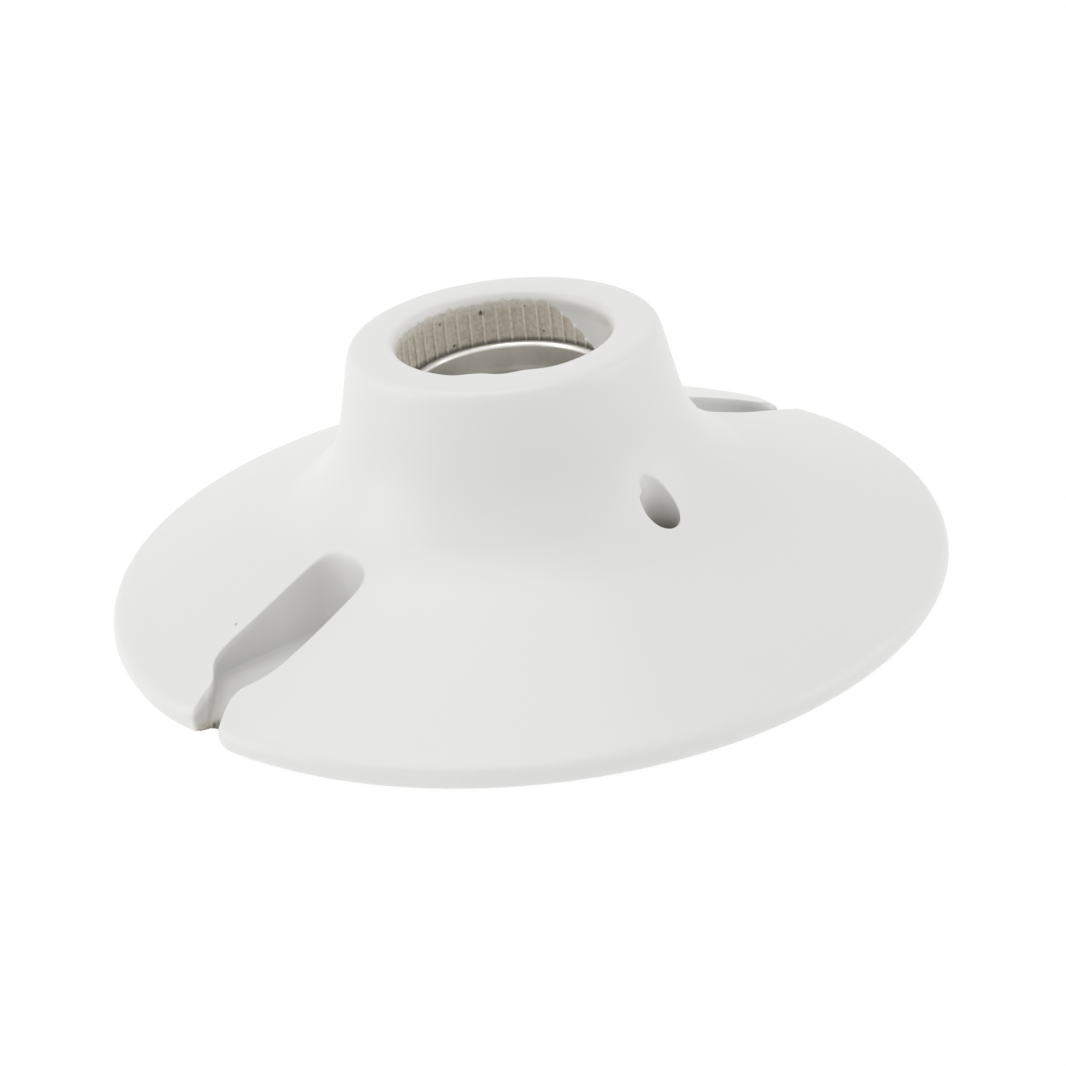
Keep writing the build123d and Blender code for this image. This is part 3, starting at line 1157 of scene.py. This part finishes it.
shellMetal = paintMetal("drawnShellMetal", "shellBright", "shellDull", (0.15, 0.15, 5.0), 0.30, 5.0)
stampedBrass = paintMetal("stampedBrass", "brassBright", "brassTarnish", (0.6, 3.0, 0.6), 0.31, 4.0)
platedSteel = paintMetal("platedSteel", "steelBright", "steelDull", (2.0, 2.0, 6.0), 0.30, 1.6)
print("finishes: porcelain and three metals")


# Screw shell: drawn wall with a rolled lip and a rolled thread

shell = {
    "baseHole": 8.6,
    "floor": 7.5,
    "baseThickness": 0.5,
    "cupRadius": 13.0,
    "cupTop": 11.1,
    "cupCorners": (0.9, 0.4),
    "wallRadius": 13.3,
    "wallBottom": 11.5,
    "sheet": 0.4,
    "lipTop": 28.9,
    "lipRadius": 0.72,
    "lipStep": 15,
    "threadPitch": 3.629,
    "threadDepth": 0.9,
    "threadFrom": 12.2,
    "threadTo": 25.2,
    "threadFade": 1.8,
    "rowHeight": 0.3,
    "steps": 112,
    "smoothAngle": 45,
}


def rollThread(piece, pitch, depth, low, high, fade, sharp):
    # push the wall in along a right-hand helix round Z that fades at both ends
    for vertex in piece.data.vertices:
        x, y = vertex.co.xy
        height = vertex.co.z / mm
        radius = math.hypot(x, y)
        ends = min(height - low, high - height) / fade
        if ends <= 0 or radius == 0:
            continue
        share = (height / pitch - math.atan2(y, x) / math.tau) % 1
        wave = abs(2 * share - 1) if sharp else 0.5 + 0.5 * math.cos(math.tau * share)
        shrink = 1 - depth * mm * wave * min(1, ends) / radius
        vertex.co.x = x * shrink
        vertex.co.y = y * shrink


def buildShell():
    base = shell["floor"]
    inside = base + shell["baseThickness"]
    cup = shell["cupRadius"]
    wall = shell["wallRadius"]
    sheet = shell["sheet"]
    lip = shell["lipRadius"]
    lipMiddle = Vector((wall + lip, shell["lipTop"] - lip))
    rowCount = round((lipMiddle.y - lip - shell["wallBottom"]) / shell["rowHeight"])
    rows = [shell["wallBottom"] + row * shell["rowHeight"] for row in range(rowCount)]
    outerCorner, innerCorner = shell["cupCorners"]
    corners = [(shell["baseHole"], base, 0), (cup + sheet, base, outerCorner)]
    corners += [(cup + sheet, shell["cupTop"], 0)]
    corners += [(wall + sheet, height, 0) for height in rows]
    for degrees in range(-90, 181, shell["lipStep"]):
        angle = math.radians(degrees)
        spoke = Vector((math.cos(angle), math.sin(angle))) * lip
        corners.append((*(lipMiddle + spoke), 0))
    corners += [(wall, height, 0) for height in reversed(rows)]
    corners += [(cup, shell["cupTop"], 0), (cup, inside, innerCorner)]
    corners += [(shell["baseHole"], inside, 0)]
    piece = spun("screwShell", corners, shell["steps"], closed=True)
    span = (shell["threadFrom"], shell["threadTo"], shell["threadFade"])
    rollThread(piece, shell["threadPitch"], shell["threadDepth"], *span, sharp=False)
    smoothBy(shell["smoothAngle"])
    wear(piece, shellMetal)
    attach(piece, "holder")
    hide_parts("screw_shell")
    print("screw shell:", len(piece.data.polygons), "faces")


buildShell()


# Terminal screws: slotted binding heads on short threaded shanks

screw = {
    "place": 28.2,
    "headRadius": 3.1,
    "headLow": 5.4,
    "headTop": 7.4,
    "headEdge": 0.5,
    "underEdge": 0.1,
    "crown": 0.1,
    "crownRun": 0.75,
    "crownCorners": (0.35, 0.3),
    "shankRadius": 1.7,
    "tip": 1.2,
    "tipEdge": 0.4,
    "slotWidth": 0.8,
    "slotDepth": 0.9,
    "slotTurn": 20,
    "threadPitch": 0.79,
    "threadDepth": 0.34,
    "threadRelief": 0.5,
    "threadFade": 0.4,
    "rowHeight": 0.1,
    "steps": 40,
    "softEdge": 0.08,
    "softAngle": 40,
}


def buildScrew():
    # modelled on the Z axis
    shank = screw["shankRadius"]
    head = screw["headRadius"]
    low = screw["headLow"]
    top = screw["headTop"]
    tip = screw["tip"]
    edge = screw["headEdge"]
    under = screw["underEdge"]
    tipEdge = screw["tipEdge"]
    rowHeight = screw["rowHeight"]
    lowCorner, highCorner = screw["crownCorners"]
    rows = range(round((low - tip - tipEdge) / rowHeight))
    corners = [(0, tip, 0), (shank - tipEdge, tip, 0)]
    corners += [(shank, tip + tipEdge + row * rowHeight, 0) for row in rows]
    corners += [(shank, low, 0), (head - under, low, 0), (head, low + under, 0)]
    crown = (head - screw["crownRun"] * edge, top - screw["crown"], highCorner)
    corners += [(head, top - edge, lowCorner), crown, (0, top, 0)]
    piece = spun("terminalScrew", corners, screw["steps"])
    size = (screw["threadPitch"], screw["threadDepth"])
    span = (tip, low - screw["threadRelief"], screw["threadFade"])
    rollThread(piece, *size, *span, sharp=True)
    deselectAll()
    bpy.ops.mesh.primitive_cube_add(size=1)
    cutter = bpy.context.object
    slot = (3 * head, screw["slotWidth"], 2 * screw["slotDepth"], 1)
    cutter.data.transform(Matrix.Diagonal(slot))
    cutter.data.transform(Matrix.Translation((0, 0, top)))
    cutter.data.transform(Matrix.Scale(mm, 4))
    carve(piece, cutter)
    softenEdges(piece, screw["softEdge"], screw["softAngle"])
    return piece


def placeScrews():
    first = buildScrew()
    second = first.copy()
    second.data = first.data.copy()
    bpy.context.collection.objects.link(second)
    for piece, name, side in ((first, "live", 1), (second, "neutral", -1)):
        piece.name = name + "TerminalScrew"
        turn = Matrix.Rotation(math.radians(screw["slotTurn"] * side), 4, "Z")
        move = Matrix.Translation((0, side * screw["place"] * mm, 0))
        piece.data.transform(move @ turn)
        wear(piece, platedSteel)
        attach(piece, name + "_terminal")
        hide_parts(name + "_screw")
    print("terminal screws:", len(first.data.polygons), "faces each")


placeScrews()


# Stamped and riveted pieces: the solids with their edges broken

# node, then the piece's name and the width of its broken edge
stampings = {
    "neutral_strap": ("neutralStrap", 0.12),
    "live_strap": ("liveStrap", 0.12),
    "centre_contact": ("centreContact", 0.08),
    "rivet_washer": ("rivetWasher", 0.1),
    "shell_rivets": ("shellRivets", 0.12),
    "contact_rivet": ("contactRivet", 0.1),
}

# the solids' triangles are joined to flat faces first: distance in millimetres, angles in degrees
breaking = {"weld": 0.001, "flat": 1, "sharp": 32}


def breakEdges(node, name, width):
    piece = bpy.data.objects.new(name, frame["nodes"][node].data.copy())
    bpy.context.collection.objects.link(piece)
    makeActive(piece)
    enter("EDIT")
    selectMesh()
    bpy.ops.mesh.remove_doubles(threshold=breaking["weld"] * mm)
    bpy.ops.mesh.dissolve_limited(angle_limit=math.radians(breaking["flat"]))
    enter("OBJECT")
    softenEdges(piece, width, breaking["sharp"])
    wear(piece, stampedBrass)
    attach(piece, "holder")
    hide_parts(node)


for nodeName, (pieceName, edgeWidth) in stampings.items():
    breakEdges(nodeName, pieceName, edgeWidth)
print("straps, contact and rivets:", len(stampings), "pieces")


# Stage, light and camera

# floorGlow is the camera's share of plain white, tableGlow the soft light that the floor gives off
white = (1, 1, 1)
stage = {
    "floorSize": 6.0,
    "floorWhite": (0.9, 0.9, 0.9),
    "floorGlow": 0.92,
    "tableGlow": 0.25,
    "worldStrength": 0.58,
    "lightSize": 0.8,
}

# each lamp has its place in metres and its power in watts
lamps = {
    "overhead": ((-0.15, 0.18, 0.9), 2.5),
    "leftSide": ((-0.85, 0.55, 0.45), 2.15),
    "rightSide": ((0.68, -0.72, 0.48), 2.15),
}


def seenRay(paint):
    # 1 for what the camera sees straight, in a gloss or through glass
    names = ("Is Camera Ray", "Is Glossy Ray", "Is Transmission Ray")
    camera, glossy, transmitted = (paint.node("LightPath", {}, {}, name) for name in names)
    return (camera + glossy + transmitted).math("MINIMUM", 1.0)


def buildStage():
    deselectAll()
    bpy.ops.mesh.primitive_plane_add(size=stage["floorSize"])
    floor = bpy.context.object
    floor.name = "floor"
    paint = Paint(bpy.data.materials.new("floorPaper"))
    paper = paint.node("BsdfDiffuse", {}, {"Color": stage["floorWhite"]})
    lit = paint.node("Emission", {}, {"Color": white, "Strength": stage["tableGlow"]})
    shade = paint.node("AddShader", {}, {0: paper, 1: lit})
    glow = paint.node("Emission", {}, {"Color": white, "Strength": 1.0})
    blend = paint.node("MixShader", {}, {0: seenRay(paint) * stage["floorGlow"], 1: shade, 2: glow})
    paint.dress("Material Output", {"Surface": blend})
    wear(floor, paint)
    world = bpy.data.worlds.new("studio")
    bpy.context.scene.world = world
    paint = Paint(world)
    strength = stage["worldStrength"] + seenRay(paint) * (1 - stage["worldStrength"])
    paint.dress("Background", {"Color": white, "Strength": strength})
    for name, (place, power) in lamps.items():
        deselectAll()
        bpy.ops.object.light_add(type="AREA", location=place)
        lamp = bpy.context.object
        lamp.name = name
        lamp.rotation_euler = Vector(place).to_track_quat("Z", "Y").to_euler()
        lamp.data.size = stage["lightSize"]
        lamp.data.energy = power


view = {
    "turn": 40.342,
    "elevation": 26.419,
    "roll": -6.274,
    "distance": 333.3,
    "moveRight": 0.623,
    "moveUp": 4.287,
    "lens": 77.62,
    "sensor": 36.0,
    "clip": (0.01, 20),
}


def buildCamera():
    turn = math.radians(view["turn"])
    tilt = math.radians(view["elevation"])
    roll = math.radians(view["roll"])
    level = Vector((math.cos(turn), -math.sin(turn), 0))
    forward = math.cos(tilt)
    ahead = Vector((math.sin(turn) * forward, math.cos(turn) * forward, -math.sin(tilt)))
    plumb = level.cross(ahead)
    right = level * math.cos(roll) + plumb * math.sin(roll)
    up = plumb * math.cos(roll) - level * math.sin(roll)
    place = right * view["moveRight"] + up * view["moveUp"] - ahead * view["distance"]
    pose = Matrix((right, up, -ahead)).transposed().to_4x4()
    pose.translation = place * mm
    deselectAll()
    bpy.ops.object.camera_add()
    camera = bpy.context.object
    camera.matrix_world = pose
    camera.data.lens = view["lens"]
    camera.data.sensor_width = view["sensor"]
    camera.data.clip_start, camera.data.clip_end = view["clip"]
    bpy.context.scene.camera = camera


buildStage()
buildCamera()
bpy.context.scene.view_settings.view_transform = "Standard"
print("stage and camera set")
